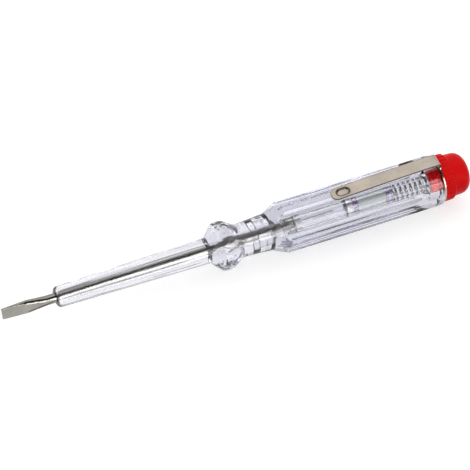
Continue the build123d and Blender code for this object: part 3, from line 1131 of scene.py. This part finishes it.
class TESTER_OT_materials(Operator):
    """Make the materials"""

    bl_idname = "tester.materials"
    bl_label = "Materials"

    def execute(self, context):
        self.make_clear(context.scene.tester_handle)
        self.make_metals(context.scene)
        solid_material("glazed_ceramic", context.scene.tester_works.ceramic, 0.35, 0.5)
        solid_material("red_moulding", context.scene.tester_cap.red, 0.3, 0.45, gloss=0.08)
        return {"FINISHED"}

    def make_clear(self, settings):
        """The grip's and the sleeve's plastic, and the lamp's glass."""
        streak = settings.streak_height
        streaks = {"scale": 700.0, "stretch": 0.03, "height": streak, "start": 74.5, "end": 132.0}
        fine_streaks = {"scale": 1100.0, "stretch": 0.02, "height": streak * 2, "start": 14.0, "end": 62.0}
        dents = {"scale": 350.0, "stretch": 0.8, "height": settings.dent_height, "start": 60.5, "end": 71.5}
        # The last number of each row is the share of the tint that the painted shade keeps where the
        # plastic is seen edge on
        for name, density, ripples, edge in (
            ("clear_moulding", 125.0, [streaks], 0.6),
            ("clear_sleeve", 100.0, [fine_streaks, dents], 0.3),
        ):
            clear_material(name, settings.tint, settings.depth_tint, density, ripples=ripples, edge=edge)
        clear_material("tube_glass", (0.97, 0.98, 0.98), ior=1.5)

    def make_metals(self, scene):
        """Blade, contacts, resistor caps, electrodes, spring and clip."""
        works = scene.tester_works
        sleeve_front = ends("blade_sleeve")[0]
        duller = [(sleeve_front, 0.17), (62.0, 0.2)]
        metal_material("satin_steel", scene.tester_blade.steel, 0.08, 0.16, 0.15, bump=0.12, dull=duller)
        metal_material("tinned_brass", works.bright, 0.50, 0.65)
        metal_material("violet_lacquer", works.violet, 0.2, 0.35)
        metal_material("dull_wire", works.dull, 0.25, 0.4)
        metal_material("drawn_steel", works.drawn, 0.10, 0.20)
        # Dark tone of the painted shade at the clip's rim and at the dimple's wall
        painted_shade_tone = (0.05, 0.035, 0.022)
        metal_material("satin_nickel", scene.tester_clip.nickel, 0.15, 0.25, 0.1, bump=0.15, rim=painted_shade_tone)


class TESTER_OT_stage(Operator):
    """Set the floor, the light and the camera"""

    bl_idname = "tester.stage"
    bl_label = "Stage"

    def execute(self, context):
        settings = context.scene.tester_stage
        self.make_floor(settings)
        self.make_world(settings)
        self.make_lights(settings)
        self.make_camera(settings)
        context.scene.view_settings.view_transform = "Standard"
        return {"FINISHED"}

    def make_floor(self, settings):
        """Pale floor under the reach of the clip, which can turn to the tool's underside."""
        deselect_all()
        lowest = -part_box("clip_arm")[1].z
        bpy.ops.mesh.primitive_plane_add(size=settings.floor_size, location=(0.07, 0, lowest))
        floor = bpy.context.object
        floor.name = "floor"
        mat, nodes, links, shader = new_material("floor_paper")
        shader.inputs["Base Color"].default_value = (settings.paper_tone,) * 3 + (1,)
        shader.inputs["Roughness"].default_value = 0.9
        shader.inputs["Specular IOR Level"].default_value = 0.0
        links.new(self.seen_directly(nodes, links), shader.inputs["Emission Strength"])
        shader.inputs["Emission Color"].default_value = (settings.paper,) * 3 + (1,)
        floor.data.materials.append(mat)

    def seen_directly(self, nodes, links):
        """One for rays from the camera, off metal or through glass."""
        path = nodes.new("ShaderNodeLightPath")
        value = path.outputs["Is Camera Ray"]
        for name in ("Is Glossy Ray", "Is Transmission Ray"):
            seen = nodes.new("ShaderNodeMath")
            seen.operation = "MAXIMUM"
            links.new(value, seen.inputs[0])
            links.new(path.outputs[name], seen.inputs[1])
            value = seen.outputs["Value"]
        return value

    def make_world(self, settings):
        """White behind the tool, plain light all around, and a studio for metal and plastic to mirror."""
        world = bpy.data.worlds.new("studio")
        bpy.context.scene.world = world
        world.use_nodes = True
        nodes, links = world.node_tree.nodes, world.node_tree.links
        back = nodes["Background"]
        coordinates = nodes.new("ShaderNodeTexCoord")
        facing = nodes.new("ShaderNodeVectorMath")
        facing.operation = "DOT_PRODUCT"
        facing.inputs[1].default_value = (0, -1, 0)
        links.new(coordinates.outputs["Generated"], facing.inputs[0])
        lean = facing.outputs["Value"]
        studio = nodes.new("ShaderNodeMath")
        walls = add_range(nodes, links, lean, settings.ceiling, settings.dark, -0.16, -0.08)
        box = add_range(nodes, links, lean, 0, settings.front_box, 0.68, 0.76)
        links.new(walls, studio.inputs[0])
        links.new(box, studio.inputs[1])
        seen = self.seen_directly(nodes, links)
        light = self.mixed(nodes, links, seen, (settings.fill,) * 3, studio.outputs["Value"])
        path = nodes.new("ShaderNodeLightPath")
        shown = self.mixed(nodes, links, path.outputs["Is Camera Ray"], light, (1, 1, 1))
        links.new(shown, back.inputs["Color"])
        back.inputs["Strength"].default_value = 1.0

    def mixed(self, nodes, links, factor, first, second):
        """Mix of two colours, each a tone or a socket."""
        mix = nodes.new("ShaderNodeMix")
        mix.data_type = "RGBA"
        links.new(factor, mix.inputs[0])
        for socket, value in ((mix.inputs[6], first), (mix.inputs[7], second)):
            if isinstance(value, bpy.types.NodeSocket):
                links.new(value, socket)
            else:
                socket.default_value = (*value, 1)
        return mix.outputs[2]

    def make_lights(self, settings):
        """A broad soft box over the tool and a strip on the camera's left."""
        for name, place, size, power in (
            ("key_softbox", (0.15, 0.30, 0.85), (0.8, 0.6), settings.key_power),
            ("side_strip", (-0.55, 0.35, 0.35), (0.15, 0.6), settings.key_power * 0.3),
        ):
            light = bpy.data.lights.new(name, "AREA")
            light.shape = "RECTANGLE"
            light.size, light.size_y = size
            light.energy = power
            ob = bpy.data.objects.new(name, light)
            bpy.context.scene.collection.objects.link(ob)
            ob.location = place
            aim = Vector((0.07, 0, 0)) - Vector(place)
            ob.rotation_euler = aim.to_track_quat("-Z", "Y").to_euler()

    def make_camera(self, settings):
        """Camera at the picture's angle."""
        a, e = settings.azimuth, settings.elevation
        back = Vector((math.sin(a) * math.cos(e), -math.cos(a) * math.cos(e), math.sin(e)))
        right = Vector((math.cos(a), math.sin(a), 0))
        up = back.cross(right)
        aim = Vector((settings.aim_x, 0, 0)) + up * settings.aim_up
        data = bpy.data.cameras.new("picture_camera")
        camera = bpy.data.objects.new("picture_camera", data)
        bpy.context.scene.collection.objects.link(camera)
        data.sensor_width = 36.0
        data.lens = data.sensor_width * settings.distance / settings.view_width
        data.clip_start = 0.01
        data.clip_end = 20.0
        turn = Matrix((right, up, back)).transposed().to_4x4()
        turn.translation = aim + back * settings.distance
        camera.matrix_world = turn
        bpy.context.scene.camera = camera


class TESTER_PT_panel(Panel):
    """Buttons for the tester's pieces"""

    bl_idname = "TESTER_PT_panel"
    bl_label = "Voltage tester"
    bl_space_type = "VIEW_3D"
    bl_region_type = "UI"
    bl_category = "Tester"

    def draw(self, context):
        for operator in OPERATORS:
            self.layout.operator(operator.bl_idname)
        for group in SETTINGS:
            settings = getattr(context.scene, group)
            box = self.layout.box()
            box.label(text=SETTINGS[group].__doc__)
            for name in settings.__annotations__:
                box.prop(settings, name)


SETTINGS = {
    "tester_stage": StageSettings,
    "tester_handle": HandleSettings,
    "tester_sleeve": SleeveSettings,
    "tester_blade": BladeSettings,
    "tester_cap": CapSettings,
    "tester_clip": ClipSettings,
    "tester_works": WorksSettings,
}
OPERATORS = (
    TESTER_OT_materials,
    TESTER_OT_stage,
    TESTER_OT_sleeve,
    TESTER_OT_handle,
    TESTER_OT_blade,
    TESTER_OT_works,
    TESTER_OT_cap,
    TESTER_OT_contact,
    TESTER_OT_clip,
)


def register():
    """Registers the classes and hangs the settings on the scene."""
    for cls in (*SETTINGS.values(), *OPERATORS, TESTER_PT_panel):
        bpy.utils.register_class(cls)
    for name, cls in SETTINGS.items():
        setattr(bpy.types.Scene, name, PointerProperty(type=cls))


def unregister():
    """Takes the settings and classes away again."""
    for name in SETTINGS:
        delattr(bpy.types.Scene, name)
    for cls in reversed((*SETTINGS.values(), *OPERATORS, TESTER_PT_panel)):
        bpy.utils.unregister_class(cls)


def main():
    """Builds the whole tool."""
    register()
    for operator in OPERATORS:
        group, name = operator.bl_idname.split(".")
        getattr(getattr(bpy.ops, group), name)()


if __name__ == "__main__":
    main()
